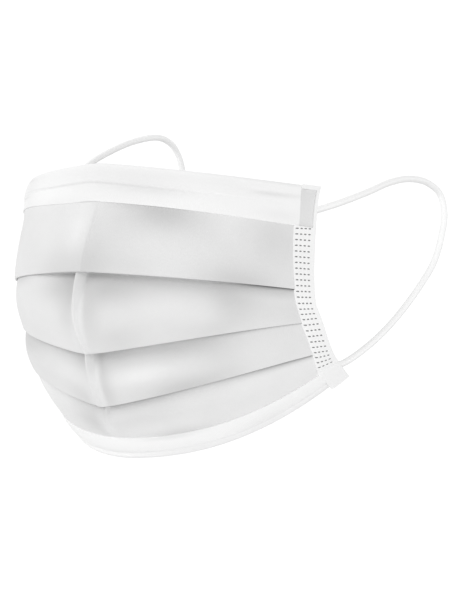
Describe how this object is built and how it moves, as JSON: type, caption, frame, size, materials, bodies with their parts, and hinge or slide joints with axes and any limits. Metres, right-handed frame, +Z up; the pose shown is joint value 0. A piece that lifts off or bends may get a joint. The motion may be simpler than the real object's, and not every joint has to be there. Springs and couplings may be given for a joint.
{
  "type": "surgical face mask",
  "caption": "Pleated surgical face mask in its worn form: folded cloth panel, nose band over a wire, chin band, side tapes and elastic ear loops.",
  "frame": {"origin": "the spot on the inner face of the nose band that rests on the bridge of the nose, on the centre line 5 mm below the top edge", "axes": "+Z up, -Y the front of the mask, +X the wearer's left"},
  "size_m": [0.1409, 0.1496, 0.1247],
  "materials": {
    "grey_cloth": "matt nonwoven cloth, pale grey",
    "white_cloth": "matt nonwoven cloth, white",
    "wire_metal": "satin",
    "loop_elastic": "knitted elastic, white"
  },
  "bodies": {
    "root": {"face_panel": "grey_cloth", "nose_band": "white_cloth", "nose_wire": "wire_metal", "chin_band": "white_cloth", "side_tape_left": "white_cloth", "side_tape_right": "white_cloth", "ear_loop_left": "loop_elastic", "ear_loop_right": "loop_elastic"}
  },
  "joints": []
}
